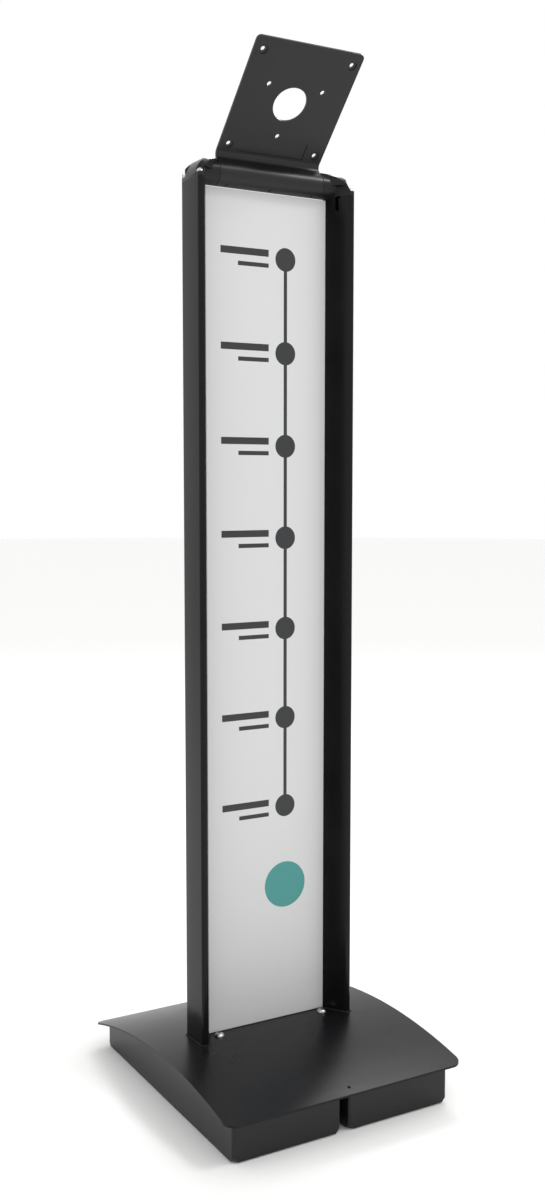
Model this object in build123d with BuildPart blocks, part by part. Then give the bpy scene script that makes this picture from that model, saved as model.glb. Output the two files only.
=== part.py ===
"""Floor stand with a tilting display plate: folded base, two posts, graphic panel and hinge.

Frame: millimetres, +Z up, the user stands on the -Y side.  The origin is on the floor,
under the middle of the base.
"""
from build123d import *
import math
import os

# ---------------------------------------------------------------- driving dimensions
# Base: two folded trays side by side, with a cable slot between them.
BASE_WIDTH = 250.0
BASE_DEPTH = 300.0
TRAY_SHEET = 2.0
TRAY_GAP = 9.0
TRAY_BEND_RADIUS = 3.5
TRAY_CORNER_CUT = 6.0
FOOT_HEIGHT = 1.5
FOOT_DIAMETER = 22.0
FOOT_INSET = 24.0

# Arched top plate: part of a cylinder that lies along X.
TOP_OVERHANG = 12.0
TOP_SHEET = 2.0
TOP_CORNER_RADIUS = 12.0
ARCH_RADIUS = 600.0
ARCH_CREST_Y = 34.0
ARCH_CREST_Z = 58.0
CABLE_TIE_HOLE = (-3.4, 152.0, 1.9)

# Inside the base.
BALLAST_THICKNESS = 12.0
BALLAST_CLEARANCE = 3.0
CROSS_PLATE_SIZE = (226.0, 72.0)
CROSS_PLATE_Y = 2.0
CROSS_PLATE_THICKNESS = 5.0
PILLAR_DIAMETER = 16.0
PILLAR_INNER_X = 32.0
PILLAR_OUTER_X = 102.0
PILLAR_Y = (-22.0, 26.0)
WALL_NOTCH_CLEARANCE = 1.0
CABLE_NOTCH = (85.6, 10.8)
CABLE_NOTCH_RADIUS = 3.6

# Posts: hollow extrusions, described on the +X side.
POST_OUTER_X = 91.0
POST_REAR_Y = 21.5
POST_FRONT_Y = -18.5
POST_NOSE_WIDTH = 6.5
POST_NOSE_RADIUS = 3.0
POST_INNER_X = 70.6
POST_WALL = 2.0
POST_TOP_Z = 936.0
LARGE_PORTS = ((84.8, 2.0), (84.8, -9.0))
LARGE_PORT_BOSS = 4.4
NOSE_PORTS = ((87.4, 17.0), (87.4, -14.0))
NOSE_PORT_BOSS = 3.3
POST_SLOT_WIDTH = 6.4
POST_SLOT_Y = 8.7
POST_SLOT_LENGTH = 15.0
GASKET_WIDTH = 1.5
GASKET_PROUD = 0.8
GASKET_GAP = 0.05

# Graphic panel, held in the grooves of the posts.
PANEL_REAR_Y = -4.6
PANEL_CORE = 2.5
PANEL_PRINT = 0.5
GROOVE_DEPTH = 6.0
GROOVE_LIP = 2.2
GROOVE_CLEARANCE = 0.2
PANEL_SIDE_CLEARANCE = 0.8
PANEL_HEAD_CLEARANCE = 0.7
SEAT_STRIP_HEIGHT = 0.8

# Tilt hinge.
AXIS_Y = -4.0
AXIS_ABOVE_POST = 10.5
BARREL_RADIUS = 12.7
AXLE_RADIUS = 8.0
AXLE_BORE_RADIUS = 4.0
AXLE_END_X = 70.0
FIT_CLEARANCE = 0.05
BRACKET_SHEET = 2.5
BRACKET_WIDTH = 120.0
SEAM_CLEARANCE = 0.1
WASHER_THICKNESS = 0.6
WASHER_SINK = 0.3
SLEEVE_LENGTH = 30.0
SLEEVE_X = (-44.0, 0.0, 44.0)
SLEEVE_SCREW_X = (-50.0, 0.0, 50.0)
SLEEVE_SCREW_ANGLE = 22.0

# Tilting plate.  The lean is measured from upright, the top going to the rear.
PLATE_LEAN = 44.6
PLATE_OFFSET = 12.0
PLATE_CENTRE_REACH = 76.9
PLATE_TOP_REACH = 139.4
PLATE_BEND_RADIUS = 6.0
PLATE_CORNER_RADIUS = 5.0
KNUCKLE_END_ANGLE = 140.0
DISPLAY_PITCH = 100.0
DISPLAY_HOLE_RADIUS = 2.25
DISPLAY_RECESS_RADIUS = 5.0
DISPLAY_RECESS_DEPTH = 0.8
CENTRE_HOLE_RADIUS = 18.0
RING_RADIUS = 35.0
RING_HOLE_RADIUS = 2.5
LABEL_POCKET = (75.0, 18.0, 0.7)
LABEL_POCKET_TOP = -38.5

# Post heads: a cap rounded both ways over each post, with a stub that carries the axle.
HEAD_RISE = 0.6
HEAD_CROWN_RADIUS = 26.0
HEAD_SHOULDER_RADIUS = 25.0
HEAD_SHOULDER_DROP = 1.0
HEAD_WEB_WIDTH = 12.0
HEAD_SEAT = 4.2
HEAD_SCREW_SCOOP = 4.6
STUB_END_X = 84.0

# Screws: shank radius, head radius, head height.  The shares below are parts of a head's size.
PAN_RIM_SHARE = 0.35
PAN_CROWN_SHARE = 0.55
PAN_DRIVE_SHARE = 0.32
PAN_DRIVE_DEPTH = 0.6
SUNK_DRIVE_SHARE = 0.35
SUNK_DRIVE_DEPTH = 0.7
FLOOR_SCREW_SINK = 0.1
PILLAR_SCREW_SINK = 0.3
M4_PAN = (1.95, 3.5, 3.4)
M6_BUTTON = (2.95, 5.25, 3.2)
M6_COUNTERSUNK = (2.95, 5.8, 2.9)
M6_HEX = (2.95, 5.2, 4.0)
TOP_SCREW_PLACE = (63.5, 5.0)
TOP_SCREW_LENGTH = 12.0
LOWER_SCREW_LENGTH = 26.0
UPPER_SCREW_LENGTH = 14.0
FOOT_SCREW_LENGTH = 25.0
HEAD_SCREW_LENGTH = 16.0
M6_CLEARANCE_HOLE = 3.3
M6_THREAD_HOLE = 3.0
M4_CLEARANCE_HOLE = 2.25
M4_THREAD_HOLE = 2.0
M4_SET_RADIUS = 1.97
M5_SET_RADIUS = 2.47
SET_CLEARANCE = 0.03
AXLE_SET_SINK = 0.4
SLEEVE_SET_SINK = 0.1
SEAT_MARGIN = 1.0

# ---------------------------------------------------------------- worked-out places
TRAY_FLOOR_Z = FOOT_HEIGHT
BALLAST_Z = TRAY_FLOOR_Z + TRAY_SHEET
BALLAST_TOP_Z = BALLAST_Z + BALLAST_THICKNESS
ARCH_CENTRE_Z = ARCH_CREST_Z - ARCH_RADIUS
CROSS_TOP_RADIUS = ARCH_RADIUS - TOP_SHEET
CROSS_UNDER_RADIUS = CROSS_TOP_RADIUS - CROSS_PLATE_THICKNESS
PANEL_THICKNESS = PANEL_CORE + 2 * PANEL_PRINT
PANEL_FRONT_Y = PANEL_REAR_Y - PANEL_THICKNESS
GROOVE_REAR_Y = PANEL_REAR_Y + GROOVE_CLEARANCE
GROOVE_FRONT_Y = PANEL_FRONT_Y - GROOVE_CLEARANCE
GROOVE_BACK_X = POST_INNER_X + GROOVE_DEPTH
POST_LIP_Y = GROOVE_FRONT_Y - GROOVE_LIP
POST_NOSE_X = POST_OUTER_X - POST_NOSE_WIDTH
PANEL_HALF_WIDTH = GROOVE_BACK_X - PANEL_SIDE_CLEARANCE
KNUCKLE_INNER_RADIUS = BARREL_RADIUS - BRACKET_SHEET
SEAM_X = BRACKET_WIDTH / 2 + SEAM_CLEARANCE
STUB_START_X = SEAM_X + WASHER_THICKNESS
AXIS_Z = POST_TOP_Z + AXIS_ABOVE_POST
HEAD_TOP_Z = AXIS_Z + BARREL_RADIUS + HEAD_RISE
HEAD_SEAT_Z = POST_TOP_Z + HEAD_SEAT
TALL = ARCH_CREST_Z * 3


def arch_z(y, radius=ARCH_RADIUS):
    """Height of a cylinder about the arch's axis, above the line at this y."""
    return ARCH_CENTRE_Z + math.sqrt(radius**2 - (y - ARCH_CREST_Y) ** 2)


PANEL_BOTTOM_Z = arch_z(PANEL_REAR_Y) + SEAT_STRIP_HEIGHT
PANEL_TOP_Z = AXIS_Z - math.sqrt(BARREL_RADIUS**2 - (PANEL_REAR_Y - AXIS_Y) ** 2) - PANEL_HEAD_CLEARANCE

lean = math.radians(PLATE_LEAN)
plate_up = Vector(0, math.sin(lean), math.cos(lean))
plate_rear = Vector(0, math.cos(lean), -math.sin(lean))
axis_point = Vector(0, AXIS_Y, AXIS_Z)
barrel_plane = Plane(origin=axis_point, x_dir=plate_rear, z_dir=(1, 0, 0))
plate_centre = axis_point + plate_up * PLATE_CENTRE_REACH - plate_rear * PLATE_OFFSET
plate_plane = Plane(origin=plate_centre, x_dir=(-1, 0, 0), z_dir=plate_rear)

os.makedirs("parts", exist_ok=True)


def save(part, name):
    """Name a finished piece and write it as its own node."""
    part.label = name
    export_step(part, f"parts/{name}.step")


def arch_prism(radius):
    """Everything under a cylinder about the arch's axis, over the base."""
    with BuildPart() as prism:
        with BuildSketch(Plane.YZ.offset(-BASE_WIDTH)):
            with Locations((ARCH_CREST_Y, ARCH_CENTRE_Z)):
                Circle(radius)
            with Locations((0, -ARCH_RADIUS)):
                Rectangle(4 * ARCH_RADIUS, 2 * ARCH_RADIUS, mode=Mode.SUBTRACT)
        extrude(amount=2 * BASE_WIDTH)
    return prism.part


under_top_plate = arch_prism(CROSS_TOP_RADIUS)
under_cross_plate = arch_prism(CROSS_UNDER_RADIUS)
under_arch = arch_prism(ARCH_RADIUS)


def mirrored(part):
    """The same piece on the -X side."""
    return mirror(part, about=Plane.YZ)


def slant_x(y):
    """The post's inner rear face, at this y."""
    run = (POST_NOSE_X - POST_INNER_X) / (POST_REAR_Y - GROOVE_REAR_Y)
    return POST_INNER_X + (y - GROOVE_REAR_Y) * run


def front_y(x):
    """The post's inner front face, at this x."""
    fall = (POST_LIP_Y - POST_FRONT_Y) / (POST_NOSE_X - POST_INNER_X)
    return POST_LIP_Y - (x - POST_INNER_X) * fall


def post_outline(grooved=False, swell=0.0):
    """Section of the +X post, on the floor plane."""
    groove = [
        (GROOVE_BACK_X, GROOVE_REAR_Y),
        (GROOVE_BACK_X, GROOVE_FRONT_Y),
        (POST_INNER_X, GROOVE_FRONT_Y),
    ]
    corners = [
        (POST_OUTER_X, POST_REAR_Y),
        (POST_NOSE_X, POST_REAR_Y),
        (POST_INNER_X, GROOVE_REAR_Y),
        *(groove if grooved else []),
        (POST_INNER_X, POST_LIP_Y),
        (POST_NOSE_X, POST_FRONT_Y),
        (POST_OUTER_X, POST_FRONT_Y),
    ]
    with BuildSketch() as outline:
        with BuildLine():
            Polyline(*corners, close=True)
        make_face()
        fillet(outline.vertices().sort_by(Axis.X)[-4:], POST_NOSE_RADIUS)
        if swell:
            offset(amount=swell)
    return outline.sketch


def post_hollow():
    """Section of the hollow inside the +X post."""
    groove_rear_meet = GROOVE_REAR_Y + (GROOVE_BACK_X - POST_INNER_X) / (
        (POST_NOSE_X - POST_INNER_X) / (POST_REAR_Y - GROOVE_REAR_Y)
    )
    with BuildSketch() as hollow:
        with BuildLine():
            Polyline(
                (POST_OUTER_X, POST_REAR_Y),
                (POST_NOSE_X, POST_REAR_Y),
                (GROOVE_BACK_X, groove_rear_meet),
                (GROOVE_BACK_X, front_y(GROOVE_BACK_X)),
                (POST_NOSE_X, POST_FRONT_Y),
                (POST_OUTER_X, POST_FRONT_Y),
                close=True,
            )
        make_face()
        offset(amount=-POST_WALL, kind=Kind.INTERSECTION)
        with Locations(*LARGE_PORTS):
            Circle(LARGE_PORT_BOSS, mode=Mode.SUBTRACT)
        with Locations(*NOSE_PORTS):
            Circle(NOSE_PORT_BOSS, mode=Mode.SUBTRACT)
    return hollow.sketch


def post_prism(bottom, top, swell=0.0, grooved=False):
    """The +X post's section, drawn out between two heights."""
    with BuildPart() as prism:
        with BuildSketch(Plane.XY.offset(bottom)):
            add(post_outline(grooved, swell))
        extrude(amount=top - bottom)
    return prism.part


def both_sides(points):
    """Each (x, y) point and its mirror image across X = 0."""
    return [(side * x, y) for x, y in points for side in (1, -1)]


UP = (Align.CENTER, Align.CENTER, Align.MIN)
DOWN = (Align.CENTER, Align.CENTER, Align.MAX)


def round_head_screw(size, length):
    """Shank below the present place and a domed head above it."""
    shank, head, height = size
    rim = height * PAN_RIM_SHARE
    Cylinder(shank, length, align=DOWN)
    Cylinder(head, rim, align=UP)
    with Locations((0, 0, rim)):
        Cone(head, head * PAN_CROWN_SHARE, height - rim, align=UP)
    with Locations((0, 0, height)):
        Cylinder(head * PAN_DRIVE_SHARE, height * PAN_DRIVE_DEPTH, align=DOWN, mode=Mode.SUBTRACT)


def countersunk_screw(size, length):
    """A flat head below the present place, with its shank under it."""
    shank, head, height = size
    Cylinder(shank, length, align=DOWN)
    Cone(shank, head, height, align=DOWN)
    Cylinder(head * SUNK_DRIVE_SHARE, height * SUNK_DRIVE_DEPTH, align=DOWN, mode=Mode.SUBTRACT)


def countersunk_cut(size, depth):
    """The hole for a flat head, open above the present place."""
    shank, head, height = size
    grow = M6_CLEARANCE_HOLE - shank
    Cylinder(M6_CLEARANCE_HOLE, depth, align=DOWN, mode=Mode.SUBTRACT)
    Cone(M6_CLEARANCE_HOLE, head + grow, height, align=DOWN, mode=Mode.SUBTRACT)
    Cylinder(head + grow, TOP_SHEET, align=UP, mode=Mode.SUBTRACT)


def seat_z(y, reach):
    """Highest point of the cross plate's underside within reach of this y."""
    return arch_z(min(y + reach, ARCH_CREST_Y), CROSS_UNDER_RADIUS)


pillar_points = [(x, y) for x in (PILLAR_INNER_X, PILLAR_OUTER_X) for y in PILLAR_Y]
pillar_seats = [(x, y, seat_z(y, PILLAR_DIAMETER / 2 + SEAT_MARGIN)) for x, y in both_sides(pillar_points)]
pillar_heads = [
    (x, y, arch_z(y - M6_COUNTERSUNK[1], CROSS_TOP_RADIUS) - PILLAR_SCREW_SINK)
    for x, y in both_sides(pillar_points)
]
floor_screw_planes = [
    Plane(origin=(x, y, TRAY_FLOOR_Z + FLOOR_SCREW_SINK), z_dir=(0, 0, -1))
    for x, y in both_sides(pillar_points)
]
post_screw_seats = [(x, y, seat_z(y, M6_HEX[1] + SEAT_MARGIN)) for x, y in both_sides(LARGE_PORTS)]
arch_slope = Vector(0, TOP_SCREW_PLACE[1] - ARCH_CREST_Y, arch_z(TOP_SCREW_PLACE[1]) - ARCH_CENTRE_Z)
top_screw_planes = [
    Plane(origin=(x, y, arch_z(y)), x_dir=(1, 0, 0), z_dir=arch_slope)
    for x, y in both_sides([TOP_SCREW_PLACE])
]

# ---------------------------------------------------------------- base


def tray_block(inset):
    """The +X tray as a solid block, drawn in by the inset on every side but the top."""
    low_x = TRAY_GAP / 2 + inset
    high_x = BASE_WIDTH / 2 - inset
    half_y = BASE_DEPTH / 2 - inset
    low_z = TRAY_FLOOR_Z + inset
    with BuildPart() as block:
        with Locations(((low_x + high_x) / 2, 0, low_z)):
            Box(high_x - low_x, 2 * half_y, TALL, align=UP)
        fillet(block.edges().filter_by(Axis.Z), TRAY_BEND_RADIUS - inset)
        for side_x, edge_x in ((-1, TRAY_GAP / 2), (1, BASE_WIDTH / 2)):
            for side_y in (-1, 1):
                corner = Vector(edge_x - side_x * TRAY_CORNER_CUT, side_y * BASE_DEPTH / 2, TRAY_FLOOR_Z)
                outward = Vector(side_x, side_y, -1).normalized()
                split(bisect_by=Plane(origin=corner - outward * inset, z_dir=outward), keep=Keep.BOTTOM)
    return block.part


with BuildPart() as base_tray_right:
    add(tray_block(0.0))
    add(tray_block(TRAY_SHEET), mode=Mode.SUBTRACT)
    add(under_top_plate, mode=Mode.INTERSECT)
    notch_depth = CROSS_PLATE_THICKNESS + WALL_NOTCH_CLEARANCE
    notch_width = CROSS_PLATE_SIZE[1] + 2 * WALL_NOTCH_CLEARANCE
    with Locations((0, CROSS_PLATE_Y, arch_z(CROSS_PLATE_Y - notch_width / 2, CROSS_UNDER_RADIUS))):
        Box(2 * (TRAY_GAP + TRAY_SHEET), notch_width, notch_depth * 2, align=UP, mode=Mode.SUBTRACT)
    with Locations(*floor_screw_planes):
        countersunk_cut(M6_COUNTERSUNK, BALLAST_THICKNESS)
save(base_tray_right.part, "base_tray_right")
save(mirrored(base_tray_right.part), "base_tray_left")

ballast_low_x = TRAY_GAP / 2 + TRAY_SHEET + BALLAST_CLEARANCE
ballast_high_x = BASE_WIDTH / 2 - TRAY_SHEET - BALLAST_CLEARANCE
ballast_depth = BASE_DEPTH - 2 * (TRAY_SHEET + BALLAST_CLEARANCE)
with BuildPart() as ballast_plate_right:
    with Locations(((ballast_low_x + ballast_high_x) / 2, 0, BALLAST_Z)):
        Box(ballast_high_x - ballast_low_x, ballast_depth, BALLAST_THICKNESS, align=UP)
    chamfer(ballast_plate_right.edges().filter_by(Axis.Z), BALLAST_CLEARANCE)
    with Locations(*floor_screw_planes):
        countersunk_cut(M6_COUNTERSUNK, BALLAST_THICKNESS * 2)
save(ballast_plate_right.part, "ballast_plate_right")
save(mirrored(ballast_plate_right.part), "ballast_plate_left")

foot_points = [
    (x, side * (BASE_DEPTH / 2 - FOOT_INSET))
    for x in (TRAY_GAP / 2 + FOOT_INSET, BASE_WIDTH / 2 - FOOT_INSET)
    for side in (-1, 1)
]
with BuildPart() as rubber_feet:
    with Locations(*both_sides(foot_points)):
        Cylinder(FOOT_DIAMETER / 2, FOOT_HEIGHT, align=UP)
save(rubber_feet.part, "rubber_feet")

with BuildPart() as base_pillars:
    for x, y, top in pillar_seats:
        with Locations((x, y, BALLAST_TOP_Z)):
            Cylinder(PILLAR_DIAMETER / 2, top - BALLAST_TOP_Z, align=UP)
            Cylinder(M6_THREAD_HOLE, top - BALLAST_TOP_Z, align=UP, mode=Mode.SUBTRACT)
save(base_pillars.part, "base_pillars")

with BuildPart() as pillar_screws_lower:
    with Locations(*floor_screw_planes):
        countersunk_screw(M6_COUNTERSUNK, LOWER_SCREW_LENGTH)
save(pillar_screws_lower.part, "pillar_screws_lower")

with BuildPart() as pillar_screws_upper:
    with Locations(*pillar_heads):
        countersunk_screw(M6_COUNTERSUNK, UPPER_SCREW_LENGTH)
save(pillar_screws_upper.part, "pillar_screws_upper")

with BuildPart() as cross_plate:
    with Locations((0, CROSS_PLATE_Y, 0)):
        Box(*CROSS_PLATE_SIZE, TALL, align=UP)
    fillet(cross_plate.edges().filter_by(Axis.Z), TRAY_BEND_RADIUS)
    add(under_top_plate, mode=Mode.INTERSECT)
    add(under_cross_plate, mode=Mode.SUBTRACT)
    for x, y, z in pillar_seats:
        with Locations((x, y, z)):
            Cylinder(PILLAR_DIAMETER / 2 + SEAT_MARGIN / 2, SEAT_MARGIN * 2, align=DOWN, mode=Mode.SUBTRACT)
    with Locations(*pillar_heads):
        countersunk_cut(M6_COUNTERSUNK, CROSS_PLATE_THICKNESS * 2)
    for x, y, z in post_screw_seats:
        with Locations((x, y, z)):
            Cylinder(M6_HEX[1] + SEAT_MARGIN / 2, SEAT_MARGIN * 2, align=DOWN, mode=Mode.SUBTRACT)
            Cylinder(M6_CLEARANCE_HOLE, CROSS_PLATE_THICKNESS * 3, mode=Mode.SUBTRACT)
    with Locations(*top_screw_planes):
        Cylinder(M6_THREAD_HOLE, CROSS_PLATE_THICKNESS * 4, mode=Mode.SUBTRACT)
    with Locations(*both_sides([CABLE_NOTCH])):
        Cylinder(CABLE_NOTCH_RADIUS, TALL, align=UP, mode=Mode.SUBTRACT)
        Box(
            2 * CABLE_NOTCH_RADIUS,
            CROSS_PLATE_SIZE[1],
            TALL,
            align=(Align.CENTER, Align.MIN, Align.MIN),
            mode=Mode.SUBTRACT,
        )
save(cross_plate.part, "cross_plate")

# ---------------------------------------------------------------- top plate and its fittings
post_cut = post_prism(0.0, TALL, GASKET_GAP + GASKET_WIDTH + GASKET_GAP)
with BuildPart() as base_top_plate:
    with BuildSketch():
        RectangleRounded(BASE_WIDTH + 2 * TOP_OVERHANG, BASE_DEPTH + 2 * TOP_OVERHANG, TOP_CORNER_RADIUS)
    extrude(amount=TALL)
    add(under_arch, mode=Mode.INTERSECT)
    add(under_top_plate, mode=Mode.SUBTRACT)
    add(post_cut, mode=Mode.SUBTRACT)
    add(mirrored(post_cut), mode=Mode.SUBTRACT)
    with Locations(*top_screw_planes):
        Cylinder(M6_CLEARANCE_HOLE, TOP_SHEET * 4, mode=Mode.SUBTRACT)
    with Locations((CABLE_TIE_HOLE[0], CABLE_TIE_HOLE[1], 0)):
        Cylinder(CABLE_TIE_HOLE[2], TALL, align=UP, mode=Mode.SUBTRACT)
save(base_top_plate.part, "base_top_plate")

with BuildPart() as top_plate_screws:
    with Locations(*top_screw_planes):
        round_head_screw(M6_BUTTON, TOP_SCREW_LENGTH)
save(top_plate_screws.part, "top_plate_screws")

with BuildPart() as post_foot_gasket_right:
    add(post_prism(0.0, TALL, GASKET_GAP + GASKET_WIDTH))
    add(post_prism(0.0, TALL, GASKET_GAP), mode=Mode.SUBTRACT)
    add(arch_prism(ARCH_RADIUS + GASKET_PROUD), mode=Mode.INTERSECT)
    add(under_top_plate, mode=Mode.SUBTRACT)
save(post_foot_gasket_right.part, "post_foot_gasket_right")
save(mirrored(post_foot_gasket_right.part), "post_foot_gasket_left")

# ---------------------------------------------------------------- posts
slot_sill = POST_TOP_Z - POST_SLOT_LENGTH
inward = Vector(POST_REAR_Y - GROOVE_REAR_Y, POST_INNER_X - POST_NOSE_X, 0).normalized()
along = Vector(-inward.Y, inward.X, 0)
slot_start = Vector(slant_x(POST_SLOT_Y), POST_SLOT_Y, slot_sill) - inward
with BuildPart() as post_right:
    with BuildSketch(Plane.XY.offset(TRAY_FLOOR_Z)):
        add(post_outline(grooved=True))
        add(post_hollow(), mode=Mode.SUBTRACT)
        with Locations(*LARGE_PORTS):
            Circle(M6_THREAD_HOLE, mode=Mode.SUBTRACT)
        with Locations(*NOSE_PORTS):
            Circle(M4_THREAD_HOLE, mode=Mode.SUBTRACT)
    extrude(amount=POST_TOP_Z - TRAY_FLOOR_Z)
    add(under_top_plate, mode=Mode.SUBTRACT)
    with BuildSketch(Plane(origin=slot_start, x_dir=along, z_dir=inward)):
        with Locations((0, POST_SLOT_WIDTH / 2)):
            Circle(POST_SLOT_WIDTH / 2)
            Rectangle(POST_SLOT_WIDTH, POST_SLOT_LENGTH, align=(Align.CENTER, Align.MIN))
    extrude(amount=POST_SLOT_WIDTH, mode=Mode.SUBTRACT)
save(post_right.part, "post_right")
save(mirrored(post_right.part), "post_left")

with BuildPart() as post_foot_screws:
    for x, y, z in post_screw_seats:
        with Locations((x, y, z)):
            Cylinder(M6_HEX[0], FOOT_SCREW_LENGTH, align=UP)
        with BuildSketch(Plane.XY.offset(z)):
            with Locations((x, y)):
                RegularPolygon(M6_HEX[1], 6)
        extrude(amount=-M6_HEX[2])
save(post_foot_screws.part, "post_foot_screws")

# ---------------------------------------------------------------- graphic panel


def panel_sheet(rear_y, thickness):
    """One layer of the panel, its rear face at this y."""
    with BuildPart() as sheet:
        with Locations((0, rear_y, PANEL_BOTTOM_Z)):
            Box(
                2 * PANEL_HALF_WIDTH,
                thickness,
                PANEL_TOP_Z - PANEL_BOTTOM_Z,
                align=(Align.CENTER, Align.MAX, Align.MIN),
            )
    return sheet.part


save(panel_sheet(PANEL_REAR_Y, PANEL_PRINT), "panel_rear_print")
save(panel_sheet(PANEL_REAR_Y - PANEL_PRINT, PANEL_CORE), "panel_core")
save(panel_sheet(PANEL_REAR_Y - PANEL_PRINT - PANEL_CORE, PANEL_PRINT), "panel_front_print")

with BuildPart() as panel_seat_strip:
    with Locations((0, PANEL_REAR_Y, 0)):
        Box(
            2 * (POST_INNER_X - GASKET_GAP * 2 - GASKET_WIDTH),
            PANEL_THICKNESS,
            PANEL_BOTTOM_Z,
            align=(Align.CENTER, Align.MAX, Align.MIN),
        )
    add(under_arch, mode=Mode.SUBTRACT)
save(panel_seat_strip.part, "panel_seat_strip")

# ---------------------------------------------------------------- post heads
axis_plane = Plane(origin=axis_point, x_dir=(0, 1, 0), z_dir=(1, 0, 0))
shoulder_x = POST_OUTER_X - HEAD_SHOULDER_RADIUS
shoulder_z = POST_TOP_Z - HEAD_SHOULDER_DROP
crown_z = HEAD_TOP_Z - HEAD_CROWN_RADIUS
axle_screw_x = (STUB_START_X + AXLE_END_X) / 2
web_corners = [
    (STUB_START_X, AXIS_Y + HEAD_WEB_WIDTH / 2),
    (STUB_START_X, AXIS_Y - HEAD_WEB_WIDTH / 2),
    (POST_NOSE_X, POST_FRONT_Y + POST_NOSE_RADIUS / 2),
    (POST_NOSE_X, POST_REAR_Y - POST_NOSE_RADIUS / 2),
]

with BuildPart() as crown:
    with BuildSketch(Plane.YZ.offset(STUB_START_X)):
        with Locations((AXIS_Y, crown_z)):
            Circle(HEAD_CROWN_RADIUS)
    extrude(amount=POST_OUTER_X)
with BuildPart() as shoulder:
    with BuildSketch(Plane.XZ):
        with Locations((shoulder_x, shoulder_z)):
            Circle(HEAD_SHOULDER_RADIUS)
            Rectangle(POST_OUTER_X, 2 * POST_OUTER_X, align=(Align.MAX, Align.CENTER))
    extrude(amount=POST_OUTER_X, both=True)

with BuildPart() as post_head_right:
    add(post_prism(POST_TOP_Z, HEAD_TOP_Z + HEAD_SEAT))
    with BuildSketch(Plane.XY.offset(AXIS_Z)):
        with BuildLine():
            Polyline(*web_corners, close=True)
        make_face()
    extrude(amount=BARREL_RADIUS + HEAD_SEAT)
    add(crown.part, mode=Mode.INTERSECT)
    with BuildSketch(axis_plane.offset(STUB_START_X)):
        Circle(BARREL_RADIUS)
    extrude(amount=STUB_END_X - STUB_START_X)
    add(shoulder.part, mode=Mode.INTERSECT)
    add(post_prism(POST_TOP_Z - HEAD_CROWN_RADIUS, POST_TOP_Z), mode=Mode.SUBTRACT)
    with Locations(*[(x, y, HEAD_SEAT_Z) for x, y in NOSE_PORTS]):
        Cylinder(HEAD_SCREW_SCOOP, HEAD_CROWN_RADIUS, align=UP, mode=Mode.SUBTRACT)
        Cylinder(M4_CLEARANCE_HOLE, HEAD_CROWN_RADIUS, align=DOWN, mode=Mode.SUBTRACT)
    with BuildSketch(axis_plane.offset(STUB_START_X)):
        Circle(AXLE_RADIUS + FIT_CLEARANCE)
    extrude(amount=AXLE_END_X + SEAM_CLEARANCE - STUB_START_X, mode=Mode.SUBTRACT)
    with BuildSketch(Plane(origin=(axle_screw_x, AXIS_Y, AXIS_Z), z_dir=(0, -1, 0))):
        Circle(M5_SET_RADIUS + SET_CLEARANCE)
    extrude(amount=2 * BARREL_RADIUS, mode=Mode.SUBTRACT)
save(post_head_right.part, "post_head_right")
save(mirrored(post_head_right.part), "post_head_left")

with BuildPart() as head_screws:
    with Locations(*[(x, y, HEAD_SEAT_Z) for x, y in both_sides(NOSE_PORTS)]):
        round_head_screw(M4_PAN, HEAD_SCREW_LENGTH)
save(head_screws.part, "head_screws")

# ---------------------------------------------------------------- tilt hinge


def ring(start_x, length, outer, inner):
    """A plain ring about the tilt axis."""
    with BuildPart() as hoop:
        with BuildSketch(axis_plane.offset(start_x)):
            Circle(outer)
            Circle(inner, mode=Mode.SUBTRACT)
        extrude(amount=length)
    return hoop.part


tilt_axle = ring(-AXLE_END_X, 2 * AXLE_END_X, AXLE_RADIUS, AXLE_BORE_RADIUS)
save(tilt_axle, "tilt_axle")

washer = ring(SEAM_X, WASHER_THICKNESS, BARREL_RADIUS - WASHER_SINK, AXLE_RADIUS + FIT_CLEARANCE)
save(washer, "thrust_washer_right")
save(mirrored(washer), "thrust_washer_left")

with BuildPart() as friction_sleeves:
    for x in SLEEVE_X:
        add(
            ring(
                x - SLEEVE_LENGTH / 2,
                SLEEVE_LENGTH,
                KNUCKLE_INNER_RADIUS - FIT_CLEARANCE,
                AXLE_RADIUS + FIT_CLEARANCE,
            )
        )
save(friction_sleeves.part, "friction_sleeves")

axle_screw_y = AXIS_Y - AXLE_RADIUS - FIT_CLEARANCE
with BuildPart() as axle_lock_screws:
    for side in (1, -1):
        with BuildSketch(Plane(origin=(side * axle_screw_x, axle_screw_y, AXIS_Z), z_dir=(0, -1, 0))):
            Circle(M5_SET_RADIUS)
        extrude(amount=BARREL_RADIUS - AXLE_RADIUS - AXLE_SET_SINK)
save(axle_lock_screws.part, "axle_lock_screws")

turn = math.radians(SLEEVE_SCREW_ANGLE)
screw_out = Vector(0, math.sin(turn), -math.cos(turn))


def sleeve_screw_plane(x, reach):
    """Plane across one set screw of the knuckle, this far from the axis."""
    return Plane(origin=Vector(x, AXIS_Y, AXIS_Z) + screw_out * reach, z_dir=screw_out)


def knuckle_point(radius, angle):
    """A point of the rolled knuckle, in the barrel plane."""
    return (radius * math.cos(math.radians(angle)), radius * math.sin(math.radians(angle)))


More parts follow.
